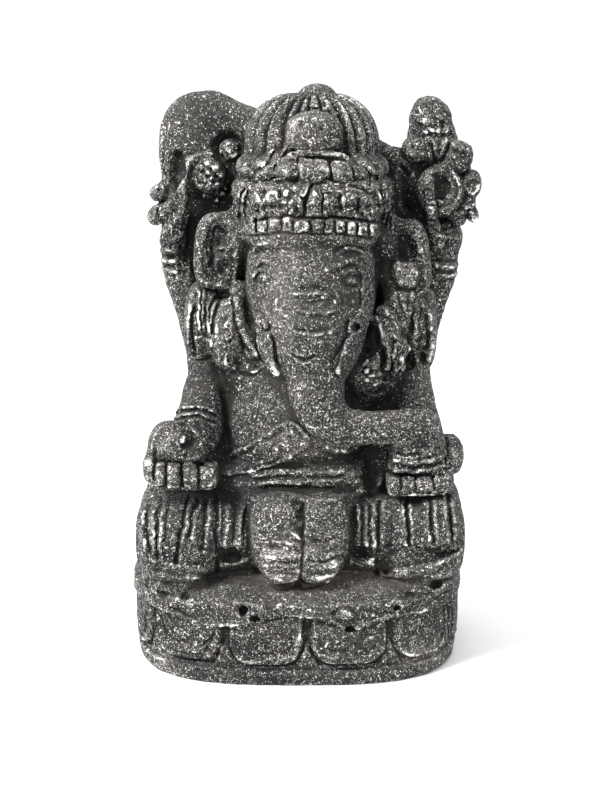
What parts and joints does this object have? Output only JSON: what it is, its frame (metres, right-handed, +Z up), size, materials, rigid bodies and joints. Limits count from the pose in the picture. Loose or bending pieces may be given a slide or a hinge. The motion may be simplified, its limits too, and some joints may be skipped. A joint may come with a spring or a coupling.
{
  "type": "ganesha statue",
  "caption": "Seated elephant-headed garden figure with raised and lowered arms and a curled trunk, on an oval petalled seat, cast in one piece.",
  "frame": {"origin": "middle of the flat underside of the seat", "axes": "+Z up, along the statue's height; the figure faces -Y; +X is towards the viewer's right"},
  "size_m": [0.2472, 0.1856, 0.4],
  "materials": {
    "cast_stone": "rough dark volcanic stone colour with near-black hollows and pale dry-brushed flecks on the raised parts"
  },
  "bodies": {
    "root": {"ganesha_statue": "cast_stone"}
  },
  "joints": []
}
